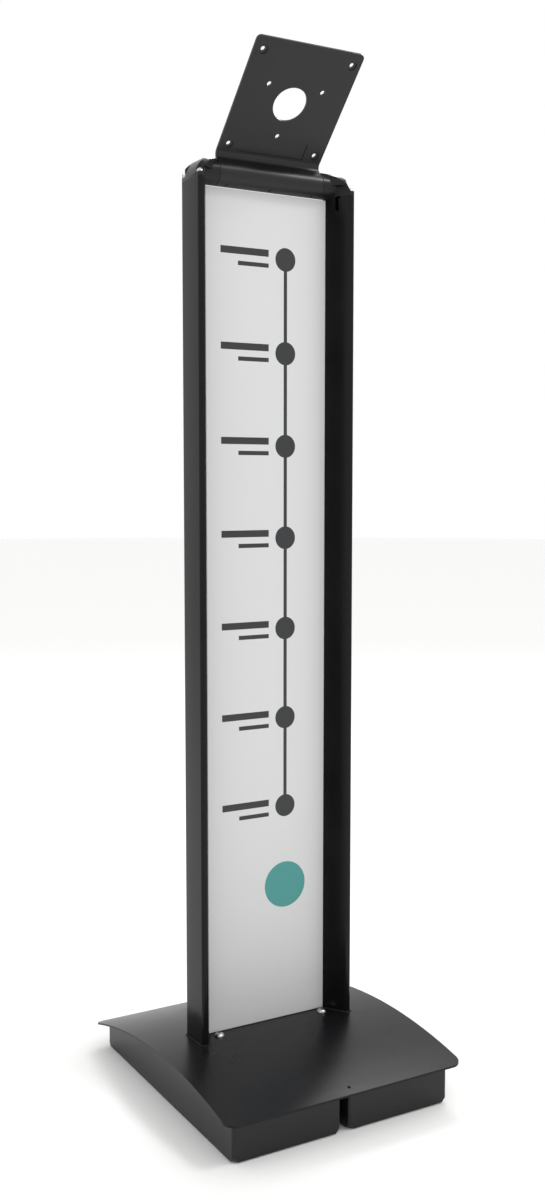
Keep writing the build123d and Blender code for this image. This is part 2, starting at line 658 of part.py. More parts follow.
middle_angle = (90 + KNUCKLE_END_ANGLE - 360) / 2
rear_a = -PLATE_OFFSET
front_a = rear_a - BRACKET_SHEET
bend_a = rear_a + PLATE_BEND_RADIUS
bend_b = BARREL_RADIUS + PLATE_BEND_RADIUS
with BuildPart() as tilt_bracket:
    with BuildSketch(barrel_plane.offset(-BRACKET_WIDTH / 2)):
        with BuildLine():
            Line((rear_a, PLATE_TOP_REACH), (rear_a, bend_b))
            RadiusArc((rear_a, bend_b), (bend_a, BARREL_RADIUS), -PLATE_BEND_RADIUS)
            Line((bend_a, BARREL_RADIUS), (0, BARREL_RADIUS))
            ThreePointArc(
                (0, BARREL_RADIUS),
                knuckle_point(BARREL_RADIUS, middle_angle),
                knuckle_point(BARREL_RADIUS, KNUCKLE_END_ANGLE),
            )
            Line(
                knuckle_point(BARREL_RADIUS, KNUCKLE_END_ANGLE),
                knuckle_point(KNUCKLE_INNER_RADIUS, KNUCKLE_END_ANGLE),
            )
            ThreePointArc(
                knuckle_point(KNUCKLE_INNER_RADIUS, KNUCKLE_END_ANGLE),
                knuckle_point(KNUCKLE_INNER_RADIUS, middle_angle),
                (0, KNUCKLE_INNER_RADIUS),
            )
            Line((0, KNUCKLE_INNER_RADIUS), (bend_a, KNUCKLE_INNER_RADIUS))
            RadiusArc((bend_a, KNUCKLE_INNER_RADIUS), (front_a, bend_b), PLATE_BEND_RADIUS + BRACKET_SHEET)
            Line((front_a, bend_b), (front_a, PLATE_TOP_REACH))
            Line((front_a, PLATE_TOP_REACH), (rear_a, PLATE_TOP_REACH))
        make_face()
    extrude(amount=BRACKET_WIDTH)
    upright = Axis(plate_centre, plate_up)
    across_sheet = Axis(plate_centre, plate_rear)
    fillet(tilt_bracket.edges().filter_by(across_sheet).sort_by(upright)[-2:], PLATE_CORNER_RADIUS)
    with Locations(plate_plane):
        with GridLocations(DISPLAY_PITCH, DISPLAY_PITCH, 2, 2):
            CounterBoreHole(
                DISPLAY_HOLE_RADIUS,
                DISPLAY_RECESS_RADIUS,
                DISPLAY_RECESS_DEPTH,
                BRACKET_SHEET * 2,
            )
        with PolarLocations(RING_RADIUS, 3, start_angle=30):
            Hole(RING_HOLE_RADIUS, BRACKET_SHEET * 2)
        Hole(CENTRE_HOLE_RADIUS, BRACKET_SHEET * 2)
        with Locations((0, LABEL_POCKET_TOP)):
            Box(
                LABEL_POCKET[0],
                LABEL_POCKET[1],
                2 * LABEL_POCKET[2],
                align=(Align.CENTER, Align.MAX, Align.CENTER),
                mode=Mode.SUBTRACT,
            )
    for x in SLEEVE_SCREW_X:
        with BuildSketch(sleeve_screw_plane(x, AXLE_RADIUS)):
            Circle(M4_SET_RADIUS + SET_CLEARANCE)
        extrude(amount=BARREL_RADIUS, mode=Mode.SUBTRACT)
save(tilt_bracket.part, "tilt_bracket")

with BuildPart() as sleeve_lock_screws:
    for x in SLEEVE_SCREW_X:
        with BuildSketch(sleeve_screw_plane(x, KNUCKLE_INNER_RADIUS - FIT_CLEARANCE)):
            Circle(M4_SET_RADIUS)
        extrude(amount=BRACKET_SHEET - SLEEVE_SET_SINK)
save(sleeve_lock_screws.part, "sleeve_lock_screws")
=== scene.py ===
import math

import bmesh
import bpy
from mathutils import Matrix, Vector


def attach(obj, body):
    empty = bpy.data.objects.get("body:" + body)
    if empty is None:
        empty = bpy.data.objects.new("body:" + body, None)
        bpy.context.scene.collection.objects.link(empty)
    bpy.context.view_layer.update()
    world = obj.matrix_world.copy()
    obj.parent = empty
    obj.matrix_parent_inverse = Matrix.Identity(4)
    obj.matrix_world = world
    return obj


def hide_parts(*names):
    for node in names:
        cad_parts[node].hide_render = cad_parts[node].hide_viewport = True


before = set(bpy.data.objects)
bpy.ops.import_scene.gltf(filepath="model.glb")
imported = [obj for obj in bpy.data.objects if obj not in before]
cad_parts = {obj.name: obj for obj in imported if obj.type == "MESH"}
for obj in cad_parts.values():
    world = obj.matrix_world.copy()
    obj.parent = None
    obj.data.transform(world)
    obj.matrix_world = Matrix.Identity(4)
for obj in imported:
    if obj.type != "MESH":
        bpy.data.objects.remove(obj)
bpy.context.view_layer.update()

MM = 0.001

# ---------------------------------------------------------------- studio
# A pale matt sweep for the stand to stand on, in a tent of evenly lit white card.  A softbox overhead draws a
# line of light along the hinge, a strip on the user's side lights the plate's edge, and a weak one stands to
# the side.


def linear(code):
    """An sRGB hex colour as the linear red, green and blue that shader sockets take."""
    parts = [int(code[i : i + 2], 16) / 255 for i in (1, 3, 5)]
    return [c / 12.92 if c <= 0.04045 else ((c + 0.055) / 1.055) ** 2.4 for c in parts]


def paint(code):
    """The same colour with the fourth number that a colour socket wants."""
    return (*linear(code), 1.0)


def add_node(tree, kind, inputs=None, **settings):
    """Add a node with its settings, then fill its sockets with links or plain values."""
    made = tree.nodes.new(kind)
    for name, value in settings.items():
        setattr(made, name, value)
    for socket, source in (inputs or {}).items():
        if isinstance(source, bpy.types.NodeSocket):
            tree.links.new(source, made.inputs[socket])
        else:
            made.inputs[socket].default_value = source
    return made


def new_material(name):
    """A new material and its node tree, emptied."""
    material = bpy.data.materials.new(name)
    material.use_nodes = True
    tree = material.node_tree
    tree.nodes.clear()
    return material, tree


scene = bpy.context.scene
scene.view_settings.view_transform = "Standard"

CAMERA_PLACE = Vector((0.6681, 1.1710, 0.6365))
CAMERA_AIM = Vector((-0.4957, -0.8638, -0.0896))
SENSOR_WIDTH = 36.0
LENS = 38.66
camera_data = bpy.data.cameras.new("camera")
camera_data.sensor_width = SENSOR_WIDTH
camera_data.lens = LENS
camera = bpy.data.objects.new("camera", camera_data)
camera.location = CAMERA_PLACE
camera.rotation_euler = CAMERA_AIM.to_track_quat("-Z", "Y").to_euler()
scene.collection.objects.link(camera)
scene.camera = camera

SOFTBOXES = (
    # name, place, aim, width, height, watts
    ("strip_softbox", (-1.1, -1.5, 2.3), (0, 0, 0.6), 1.4, 0.4, 20.0),
    ("side_softbox", (2.4, 0.5, 1.0), (0, 0, 0.6), 1.2, 2.0, 2.0),
    ("overhead_softbox", (-1.25, 1.3, 2.8), (0, 0, 0.94), 0.9, 0.35, 22.0),
)
for name, place, aim, width, height, watts in SOFTBOXES:
    lamp = bpy.data.lights.new(name, "AREA")
    lamp.shape = "RECTANGLE"
    lamp.size = width
    lamp.size_y = height
    lamp.energy = watts
    softbox = bpy.data.objects.new(name, lamp)
    softbox.location = place
    softbox.rotation_euler = (Vector(aim) - Vector(place)).to_track_quat("-Z", "Y").to_euler()
    scene.collection.objects.link(softbox)

world = bpy.data.worlds.new("white_tent")
world.use_nodes = True
sky = world.node_tree
sky.nodes.clear()
card = add_node(sky, "ShaderNodeBackground", {"Color": paint("#ffffff"), "Strength": 1.0})
add_node(sky, "ShaderNodeOutputWorld", {"Surface": card.outputs[0]})
scene.world = world

# Matt paper: a pale, very rough sweep with a faint mottle of fibres about 4 mm across.
FIBRE_SIZE = 3.85
sweep_paper, tree = new_material("sweep_paper")
spot = add_node(tree, "ShaderNodeTexCoord").outputs["Object"]
fibre = add_node(tree, "ShaderNodeTexNoise", {"Vector": spot, "Scale": 1 / (FIBRE_SIZE * MM), "Detail": 3.0})
tint = add_node(tree, "ShaderNodeValToRGB", {"Fac": fibre.outputs["Fac"]})
tint.color_ramp.elements[0].color = paint("#f6f6f5")
tint.color_ramp.elements[1].color = paint("#fbfbfa")
surface = add_node(tree, "ShaderNodeBsdfPrincipled", {"Base Color": tint.outputs["Color"], "Roughness": 0.9})
add_node(tree, "ShaderNodeOutputMaterial", {"Surface": surface.outputs[0]})

SWEEP_RADIUS = 14.0
sweep_mesh = bpy.data.meshes.new("floor")
sweep_edit = bmesh.new()
bmesh.ops.create_circle(sweep_edit, cap_ends=True, segments=64, radius=SWEEP_RADIUS)
sweep_edit.to_mesh(sweep_mesh)
sweep_edit.free()
sweep_mesh.materials.append(sweep_paper)
sweep = bpy.data.objects.new("floor", sweep_mesh)
scene.collection.objects.link(sweep)

# ---------------------------------------------------------------- base trays
# Two trays folded from 2 mm steel sheet, welded at the corners and powder coated satin black.  They stand
# side by side with a cable slot between them and carry the weights.


def roughness_range(tree, noise, low, high):
    """A noise value, which mostly lies between 0.3 and 0.7, turned into a roughness between low and high."""
    inputs = {"Value": noise, "From Min": 0.3, "From Max": 0.7, "To Min": low, "To Max": high}
    return add_node(tree, "ShaderNodeMapRange", inputs).outputs[0]


CLOUD_SIZE = 111.0
SPECKS_PER_PEEL = 2.6


def powder_coat(name, dark, light, roughness, peel, grain, ior):
    """Cured powder on metal: satin, with a soft orange peel (its width in mm) and a cloudy tone and gloss."""
    material, tree = new_material(name)
    spot = add_node(tree, "ShaderNodeTexCoord").outputs["Object"]
    cloud = add_node(
        tree,
        "ShaderNodeTexNoise",
        {"Vector": spot, "Scale": 1 / (CLOUD_SIZE * MM), "Detail": 4.0, "Roughness": 0.6},
    )
    # Orange peel is about 1 mm across on sprayed powder, and the grain of the powder is finer.
    peel_scale = 1 / (peel * MM)
    waves = add_node(tree, "ShaderNodeTexNoise", {"Vector": spot, "Scale": peel_scale, "Detail": 2.0})
    speck = add_node(
        tree, "ShaderNodeTexNoise", {"Vector": spot, "Scale": SPECKS_PER_PEEL * peel_scale, "Detail": 3.0}
    )
    both = add_node(
        tree, "ShaderNodeMath", {0: cloud.outputs["Fac"], 1: speck.outputs["Fac"]}, operation="MULTIPLY"
    )
    tone = add_node(tree, "ShaderNodeMapRange", {"Value": both.outputs[0], "From Min": 0.12, "From Max": 0.4})
    colour = add_node(tree, "ShaderNodeValToRGB", {"Fac": tone.outputs[0]})
    colour.color_ramp.elements[0].color = paint(dark)
    colour.color_ramp.elements[1].color = paint(light)
    gloss = roughness_range(tree, cloud.outputs["Fac"], roughness - 0.03, roughness + 0.04)
    height = add_node(
        tree, "ShaderNodeMath", {0: waves.outputs["Fac"], 1: speck.outputs["Fac"]}, operation="ADD"
    )
    relief = add_node(
        tree, "ShaderNodeBump", {"Height": height.outputs[0], "Strength": grain, "Distance": 0.1 * MM}
    )
    surface = add_node(
        tree,
        "ShaderNodeBsdfPrincipled",
        {
            "Base Color": colour.outputs["Color"],
            "Roughness": gloss,
            "Normal": relief.outputs[0],
            "IOR": ior,
        },
    )
    add_node(tree, "ShaderNodeOutputMaterial", {"Surface": surface.outputs[0]})
    return material


def coat(node, material):
    """Give a CAD piece its finish."""
    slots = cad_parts[node].data.materials
    slots.clear()
    slots.append(material)


FLAT_ANGLE = math.radians(0.5)
SMOOTH_ANGLE = math.radians(30)
CORNER_ANGLE = math.radians(35)


def eased(node, piece_name, body, material, edge):
    """A copy of a CAD piece with its corners broken by this many millimetres, as deburring and paint do."""
    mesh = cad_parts[node].data.copy()
    mesh.name = piece_name
    mesh.materials.clear()
    mesh.materials.append(material)
    edit = bmesh.new()
    edit.from_mesh(mesh)
    bmesh.ops.remove_doubles(edit, verts=edit.verts, dist=1e-6)
    bmesh.ops.dissolve_limit(edit, angle_limit=FLAT_ANGLE, verts=edit.verts, edges=edit.edges)
    for face in edit.faces:
        face.smooth = True
        face.material_index = 0
    for line in edit.edges:
        line.smooth = len(line.link_faces) != 2 or line.calc_face_angle() < SMOOTH_ANGLE
    edit.to_mesh(mesh)
    edit.free()
    if "custom_normal" in mesh.attributes:
        mesh.attributes.remove(mesh.attributes["custom_normal"])
    piece = bpy.data.objects.new(piece_name, mesh)
    scene.collection.objects.link(piece)
    corner = piece.modifiers.new("broken_corners", "BEVEL")
    corner.width = edge * MM
    corner.segments = 2
    corner.limit_method = "ANGLE"
    corner.angle_limit = CORNER_ANGLE
    corner.harden_normals = True
    corner.use_clamp_overlap = True
    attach(piece, body)
    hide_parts(node)
    return piece


base_coat = powder_coat(
    "base_powder_coat", "#151517", "#1b1b1d", roughness=0.30, peel=1.1, grain=0.2, ior=1.38
)
for side in ("left", "right"):
    eased(f"base_tray_{side}", f"tray_{side}", "stand", base_coat, edge=0.35)

# ---------------------------------------------------------------- rubber feet
# Eight thin discs of moulded rubber, glued under the trays.  The sole has a rim, a raised ring inside it and a
# sunken middle.

PIT_SIZE = 0.714
DUST_SIZE = 11.1


def rubber(name, dark, light):
    """Moulded black rubber or nylon: matt, faintly dusty and finely pitted."""
    material, tree = new_material(name)
    spot = add_node(tree, "ShaderNodeTexCoord").outputs["Object"]
    pits = add_node(tree, "ShaderNodeTexNoise", {"Vector": spot, "Scale": 1 / (PIT_SIZE * MM), "Detail": 4.0})
    dust_scale = 1 / (DUST_SIZE * MM)
    dust = add_node(tree, "ShaderNodeTexNoise", {"Vector": spot, "Scale": dust_scale, "Detail": 5.0})
    colour = add_node(tree, "ShaderNodeValToRGB", {"Fac": dust.outputs["Fac"]})
    colour.color_ramp.elements[0].color = paint(dark)
    colour.color_ramp.elements[1].color = paint(light)
    relief = add_node(
        tree, "ShaderNodeBump", {"Height": pits.outputs["Fac"], "Strength": 0.4, "Distance": 0.1 * MM}
    )
    surface = add_node(
        tree,
        "ShaderNodeBsdfPrincipled",
        {"Base Color": colour.outputs["Color"], "Roughness": 0.78, "Normal": relief.outputs[0], "IOR": 1.52},
    )
    add_node(tree, "ShaderNodeOutputMaterial", {"Surface": surface.outputs[0]})
    return material


def start_tree(name, sizes):
    """A Geometry Nodes tree whose inputs are a geometry, these named sizes in metres, and a finish."""
    tree = bpy.data.node_groups.new(name, "GeometryNodeTree")
    tree.interface.new_socket("Geometry", in_out="INPUT", socket_type="NodeSocketGeometry")
    for size in sizes:
        tree.interface.new_socket(size, in_out="INPUT", socket_type="NodeSocketFloat")
    tree.interface.new_socket("Finish", in_out="INPUT", socket_type="NodeSocketMaterial")
    tree.interface.new_socket("Geometry", in_out="OUTPUT", socket_type="NodeSocketGeometry")
    return tree, add_node(tree, "NodeGroupInput")


def turned(tree, radius, steps, sides):
    """A closed turned solid.  Each step lifts the top face by a height and then scales it."""
    disc = add_node(tree, "GeometryNodeMeshCircle", {"Vertices": sides, "Radius": radius}, fill_type="NGON")
    under = add_node(tree, "GeometryNodeFlipFaces", {"Mesh": disc.outputs[0]})
    mesh, top = disc.outputs[0], None
    for height, scale in steps:
        lift = add_node(tree, "GeometryNodeExtrudeMesh", {"Mesh": mesh, "Offset Scale": height}, mode="FACES")
        if top is not None:
            tree.links.new(top, lift.inputs["Selection"])
        narrow = add_node(
            tree,
            "GeometryNodeScaleElements",
            {"Geometry": lift.outputs["Mesh"], "Selection": lift.outputs["Top"], "Scale": scale},
            domain="FACE",
        )
        mesh, top = narrow.outputs[0], lift.outputs["Top"]
    shell = add_node(tree, "GeometryNodeJoinGeometry")
    tree.links.new(mesh, shell.inputs[0])
    tree.links.new(under.outputs[0], shell.inputs[0])
    closed = add_node(tree, "GeometryNodeMergeByDistance", {"Geometry": shell.outputs[0], "Distance": 1e-6})
    return closed.outputs[0]


def times(tree, size, factor):
    """A size socket, times this factor."""
    return add_node(tree, "ShaderNodeMath", {0: size, 1: factor}, operation="MULTIPLY").outputs[0]


def place_on_points(tree, group, mesh, smooth_angle):
    """Stand the mesh on each point of the object, along the point's aim, and give it its finish."""
    aim = add_node(tree, "GeometryNodeInputNamedAttribute", {"Name": "aim"}, data_type="FLOAT_VECTOR")
    turn = add_node(tree, "FunctionNodeAlignRotationToVector", {"Vector": aim.outputs[0]}, axis="Z")
    copies = add_node(
        tree,
        "GeometryNodeInstanceOnPoints",
        {"Points": group.outputs["Geometry"], "Instance": mesh, "Rotation": turn.outputs[0]},
    )
    real = add_node(tree, "GeometryNodeRealizeInstances", {"Geometry": copies.outputs[0]})
    angle = add_node(tree, "GeometryNodeInputMeshEdgeAngle")
    soft = add_node(
        tree,
        "FunctionNodeCompare",
        {"A": angle.outputs[0], "B": math.radians(smooth_angle)},
        operation="LESS_THAN",
    )
    faces = add_node(
        tree,
        "GeometryNodeSetShadeSmooth",
        {"Geometry": real.outputs[0], "Shade Smooth": True},
        domain="FACE",
    )
    edges = add_node(
        tree,
        "GeometryNodeSetShadeSmooth",
        {"Geometry": faces.outputs[0], "Shade Smooth": soft.outputs[0]},
        domain="EDGE",
    )
    finish = add_node(
        tree, "GeometryNodeSetMaterial", {"Geometry": edges.outputs[0], "Material": group.outputs["Finish"]}
    )
    add_node(tree, "NodeGroupOutput", {"Geometry": finish.outputs[0]})


def grown(name, body, slot, tree, source_mesh, inputs, *nodes):
    """Run a tree on a mesh of places, keep the result as a plain mesh and let it stand for the CAD pieces."""
    seed = bpy.data.objects.new(name, source_mesh)
    scene.collection.objects.link(seed)
    made = seed.modifiers.new("tree", "NODES")
    made.node_group = tree
    for item in tree.interface.items_tree:
        if item.in_out == "INPUT" and item.name in inputs:
            made[item.identifier] = inputs[item.name]
    seed.update_tag()
    bpy.context.view_layer.update()
    plain = bpy.data.meshes.new_from_object(seed.evaluated_get(bpy.context.evaluated_depsgraph_get()))
    plain.name = name
    seed.modifiers.clear()
    seed.data = plain
    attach(seed, body)
    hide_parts(*nodes)
    return seed


def aimed_points(name, places):
    """A mesh of loose points, each with the direction that its piece faces."""
    mesh = bpy.data.meshes.new(name)
    mesh.from_pydata([place for place, aim in places], [], [])
    facing = mesh.attributes.new("aim", "FLOAT_VECTOR", "POINT")
    for entry, (place, aim) in zip(facing.data, places):
        entry.vector = aim
    return mesh


FOOT_RADIUS = 11.0 * MM
FOOT_HEIGHT = 1.5 * MM
FOOT_X = (28.5 * MM, 101.0 * MM)
FOOT_Y = 126.0 * MM
FOOT_SIDES = 40
foot_tree, group = start_tree("rubber_foot", ("Radius", "Height"))
# Each ring of the sole: how far it rises, as a share of the foot's height, and how much it narrows.
FOOT_PROFILE = (
    (0.75, 1.0),
    (0.25, 0.95),
    (0.0, 0.86),
    (-0.3, 0.94),
    (0.0, 0.8),
    (0.3, 0.94),
    (0.0, 0.7),
    (-0.3, 0.9),
)
rings = [(times(foot_tree, group.outputs["Height"], rise), scale) for rise, scale in FOOT_PROFILE]
sole = turned(foot_tree, group.outputs["Radius"], rings, FOOT_SIDES)
place_on_points(foot_tree, group, sole, smooth_angle=25)
foot_places = [
    ((side * x, end * FOOT_Y, FOOT_HEIGHT), (0, 0, -1)) for x in FOOT_X for side in (1, -1) for end in (1, -1)
]
foot_rubber = rubber("foot_rubber", "#0c0c0c", "#161616")
grown(
    "feet",
    "stand",
    "rubber",
    foot_tree,
    aimed_points("feet", foot_places),
    {"Radius": FOOT_RADIUS, "Height": FOOT_HEIGHT, "Finish": foot_rubber},
    "rubber_feet",
)

# ---------------------------------------------------------------- ballast plates
# A slab of 12 mm hot-rolled plate in each tray, flame cut and left plain with its grey mill scale.


BLOOM_SIZE = 25.0


def bare_steel(name, dark, light, roughness, grain_length, grain_width):
    """Bare or plated steel: metallic, with fine tool or rolling lines (sizes in mm) and a cloudy tone."""
    material, tree = new_material(name)
    spot = add_node(tree, "ShaderNodeTexCoord").outputs["Object"]
    across = 1 / (grain_width * MM)
    along = 1 / (grain_length * MM)
    lines = add_node(tree, "ShaderNodeMapping", {"Vector": spot, "Scale": (across, along, across)})
    scratch = add_node(tree, "ShaderNodeTexNoise", {"Vector": lines.outputs[0], "Scale": 1.0, "Detail": 3.0})
    bloom_scale = 1 / (BLOOM_SIZE * MM)
    cloud = add_node(tree, "ShaderNodeTexNoise", {"Vector": spot, "Scale": bloom_scale, "Detail": 6.0})
    colour = add_node(tree, "ShaderNodeValToRGB", {"Fac": cloud.outputs["Fac"]})
    colour.color_ramp.elements[0].color = paint(dark)
    colour.color_ramp.elements[1].color = paint(light)
    gloss = roughness_range(tree, scratch.outputs["Fac"], roughness - 0.06, roughness + 0.08)
    relief = add_node(
        tree, "ShaderNodeBump", {"Height": scratch.outputs["Fac"], "Strength": 0.15, "Distance": 0.05 * MM}
    )
    surface = add_node(
        tree,
        "ShaderNodeBsdfPrincipled",
        {
            "Base Color": colour.outputs["Color"],
            "Metallic": 1.0,
            "Roughness": gloss,
            "Normal": relief.outputs[0],
        },
    )
    add_node(tree, "ShaderNodeOutputMaterial", {"Surface": surface.outputs[0]})
    return material


mill_steel = bare_steel(
    "hot_rolled_steel", "#4c4b4a", "#77746f", roughness=0.55, grain_length=30.0, grain_width=1.2
)
for side in ("left", "right"):
    eased(f"ballast_plate_{side}", f"ballast_{side}", "stand", mill_steel, edge=0.5)

# ---------------------------------------------------------------- pillars
# Eight turned and tapped steel pillars, zinc plated.  A countersunk screw goes up through the tray and the
# weight into each, and a second one comes down through the cross plate.

zinc_plate = bare_steel(
    "zinc_plated_steel", "#a9acab", "#c6c8c5", roughness=0.34, grain_length=6.0, grain_width=0.5
)
coat("base_pillars", zinc_plate)
coat("pillar_screws_upper", zinc_plate)
coat("post_foot_screws", zinc_plate)


def shifted(tree, mesh, rise):
    """The mesh moved up its own axis."""
    offset = add_node(tree, "ShaderNodeCombineXYZ", {"Z": rise})
    moved = add_node(tree, "GeometryNodeTransform", {"Geometry": mesh, "Translation": offset.outputs[0]})
    return moved.outputs[0]


def finish_screw(tree, group, head, drive_depth, drive_rise, shank_rise):
    """Sink a hexagon drive into the head, join the shank to it and stand the screw in its places."""
    radius = group.outputs["Drive radius"]
    drive = add_node(
        tree, "GeometryNodeMeshCylinder", {"Vertices": 6, "Radius": radius, "Depth": drive_depth}
    ).outputs[0]
    cut = add_node(tree, "GeometryNodeMeshBoolean", operation="DIFFERENCE")
    tree.links.new(head, cut.inputs["Mesh 1"])
    tree.links.new(shifted(tree, drive, drive_rise), cut.inputs["Mesh 2"])
    shank = add_node(
        tree,
        "GeometryNodeMeshCylinder",
        {"Vertices": 24, "Radius": group.outputs["Shank radius"], "Depth": group.outputs["Shank length"]},
    ).outputs[0]
    whole = add_node(tree, "GeometryNodeJoinGeometry")
    tree.links.new(cut.outputs[0], whole.inputs[0])
    tree.links.new(shifted(tree, shank, shank_rise), whole.inputs[0])
    place_on_points(tree, group, whole.outputs[0], smooth_angle=30)


SUNK_FLARE = 1 / 0.508
SUNK_RIM = 0.04
SUNK_SIDES = 36
screw_tree, group = start_tree(
    "countersunk_screw", ("Head height", "Shank radius", "Shank length", "Drive radius")
)
height = group.outputs["Head height"]
cone = [(height, SUNK_FLARE), (times(screw_tree, height, SUNK_RIM), 0.985)]
head = turned(screw_tree, group.outputs["Shank radius"], cone, SUNK_SIDES)
head = shifted(screw_tree, head, times(screw_tree, height, -1 - SUNK_RIM))
half_shank = times(screw_tree, group.outputs["Shank length"], -0.5)
below_head = add_node(screw_tree, "ShaderNodeMath", {0: half_shank, 1: height}, operation="SUBTRACT")
finish_screw(screw_tree, group, head, times(screw_tree, height, 1.3), 0.0, below_head.outputs[0])
PILLAR_X = (32.0 * MM, 102.0 * MM)
PILLAR_Y = (-22.0 * MM, 26.0 * MM)
SCREW_FACE_Z = 1.6 * MM
under_places = [
    ((side * x, y, SCREW_FACE_Z), (0, 0, -1)) for x in PILLAR_X for y in PILLAR_Y for side in (1, -1)
]
grown(
    "underside_screws",
    "stand",
    "zinc_steel",
    screw_tree,
    aimed_points("underside_screws", under_places),
    {
        "Head height": 2.85 * MM,
        "Shank radius": 2.95 * MM,
        "Shank length": 23.1 * MM,
        "Drive radius": 2.3 * MM,
        "Finish": zinc_plate,
    },
    "pillar_screws_lower",
)

# ---------------------------------------------------------------- cross plate
# A 5 mm steel plate across both trays, hidden under the lid.  The pillars hold it up and the posts are
# bolted to it from below.  Matt black coat.

inner_coat = powder_coat(
    "inner_powder_coat", "#141414", "#1b1b1b", roughness=0.55, peel=1.4, grain=0.3, ior=1.4
)
eased("cross_plate", "post_carrier", "stand", inner_coat, edge=0.4)

# ---------------------------------------------------------------- arched lid
# One 2 mm steel sheet rolled to a slow arch, with rounded corners and a cut-out for each post.  The trays'
# satin black coat in a darker copy whose colours are painted shade on the upturned lid, and two bright
# button-head screws.

# A darker copy of the trays' coat: its colours are painted shade, so the upturned lid, which the overhead light
# and white tent brighten, reads darker than the trays.
lid_coat_painted_shade = powder_coat(
    "lid_powder_coat_painted_shade", "#121214", "#171719", roughness=0.28, peel=1.1, grain=0.15, ior=1.27
)
eased("base_top_plate", "lid", "stand", lid_coat_painted_shade, edge=0.35)

ARCH_RADIUS = 0.600
ARCH_CREST_Y = 34.0 * MM
ARCH_CREST_Z = 58.0 * MM


def arch_height(y):
    """Height of the lid's upper face at this y."""
    return ARCH_CREST_Z - ARCH_RADIUS + math.sqrt(ARCH_RADIUS**2 - (y - ARCH_CREST_Y) ** 2)


# Each ring of the dome: how far it rises, as a share of the head's height, and how much it narrows.
DOME_PROFILE = ((0.22, 1.0), (0.08, 0.975), (0.22, 0.93), (0.2, 0.88), (0.16, 0.82), (0.12, 0.72))


def domed_screw_tree(name, sides):
    """A domed head with a hexagon socket on a plain shank."""
    tree, group = start_tree(
        name, ("Head radius", "Head height", "Shank radius", "Shank length", "Drive radius")
    )
    height = group.outputs["Head height"]
    rings = [(times(tree, height, rise), scale) for rise, scale in DOME_PROFILE]
    head = turned(tree, group.outputs["Head radius"], rings, sides)
    half_shank = times(tree, group.outputs["Shank length"], -0.5)
    finish_screw(tree, group, head, times(tree, height, 1.2), height, half_shank)
    return tree


button_tree = domed_screw_tree("button_head_screw", 40)
stainless = bare_steel(
    "turned_stainless_steel", "#b9bab8", "#d6d6d3", roughness=0.26, grain_length=3.0, grain_width=0.3
)
LID_SCREW_X = 63.5 * MM
LID_SCREW_Y = 5.0 * MM
LID_SCREW_Z = arch_height(LID_SCREW_Y)
arch_centre = Vector((0, ARCH_CREST_Y, ARCH_CREST_Z - ARCH_RADIUS))
lid_normal = (Vector((0, LID_SCREW_Y, LID_SCREW_Z)) - arch_centre).normalized()
lid_screw_places = [((side * LID_SCREW_X, LID_SCREW_Y, LID_SCREW_Z), lid_normal) for side in (1, -1)]
grown(
    "lid_screws",
    "stand",
    "stainless",
    button_tree,
    aimed_points("lid_screws", lid_screw_places),
    {
        "Head radius": 5.25 * MM,
        "Head height": 3.2 * MM,
        "Shank radius": 2.95 * MM,
        "Shank length": 12.0 * MM,
        "Drive radius": 2.1 * MM,
        "Finish": stainless,
    },
    "top_plate_screws",
)

# ---------------------------------------------------------------- posts
# Two black hollow aluminium extrusions, sawn to length.  Each has a rounded nose, screw ports inside, a
# groove for the panel and a cable slot near its top.  A rubber gasket seals each foot against the lid.

post_coat = powder_coat(
    "post_powder_coat", "#0f0f10", "#141415", roughness=0.20, peel=1.3, grain=0.12, ior=1.25
)
for side in ("left", "right"):
    eased(f"post_{side}", f"upright_{side}", "stand", post_coat, edge=0.25)

gasket_rubber = rubber("gasket_rubber", "#0a0a0a", "#121212")
for side in ("left", "right"):
    coat(f"post_foot_gasket_{side}", gasket_rubber)

# ---------------------------------------------------------------- panel
# A stiff foamed PVC board, 2.5 mm thick, with a printed film on each face.  It slides down the grooves of
# the posts and stands on a rubber strip.

coat("panel_seat_strip", gasket_rubber)

# Foamed PVC: an off-white sawn edge with closed cells about half a millimetre across.
CELL_SIZE = 0.556
pvc_board, tree = new_material("foamed_pvc_board")
spot = add_node(tree, "ShaderNodeTexCoord").outputs["Object"]
cells = add_node(tree, "ShaderNodeTexVoronoi", {"Vector": spot, "Scale": 1 / (CELL_SIZE * MM)})
colour = add_node(tree, "ShaderNodeValToRGB", {"Fac": cells.outputs["Distance"]})
colour.color_ramp.elements[0].color = paint("#c9c9c7")
colour.color_ramp.elements[1].color = paint("#dededc")
relief = add_node(
    tree, "ShaderNodeBump", {"Height": cells.outputs["Distance"], "Strength": 0.3, "Distance": 0.05 * MM}
)
surface = add_node(
    tree,
    "ShaderNodeBsdfPrincipled",
    {"Base Color": colour.outputs["Color"], "Roughness": 0.7, "Normal": relief.outputs[0]},
)
add_node(tree, "ShaderNodeOutputMaterial", {"Surface": surface.outputs[0]})
coat("panel_core", pvc_board)

# Printed film under a satin laminate: pale grey, with a plain route map of round stops on a line, a long and
# a short bar beside each stop, and one teal disc below.  The laminate has a ripple about 5 mm across.
LINE_X = -22.0 * MM
LINE_HALF_WIDTH = 2.0 * MM
STOP_COUNT = 7
STOP_PITCH = 96.0 * MM
STOP_RADIUS = 12.0 * MM
ROUTE_LOW = 292.0 * MM
ROUTE_HIGH = ROUTE_LOW + (STOP_COUNT - 1) * STOP_PITCH
BARS = (
    # middle from the line, middle above the stop, half length, half height, in millimetres
    (48.0, 5.0, 28.0, 3.6),
    (38.0, -7.5, 18.0, 2.2),
)
DISC_PLACE = (LINE_X, 0.0, 205.0 * MM)
DISC_RADIUS = 25.0 * MM
RIPPLE_SIZE = 4.55
print_film, tree = new_material("printed_film")
spot = add_node(tree, "ShaderNodeTexCoord").outputs["Object"]
split = add_node(tree, "ShaderNodeSeparateXYZ", {"Vector": spot})


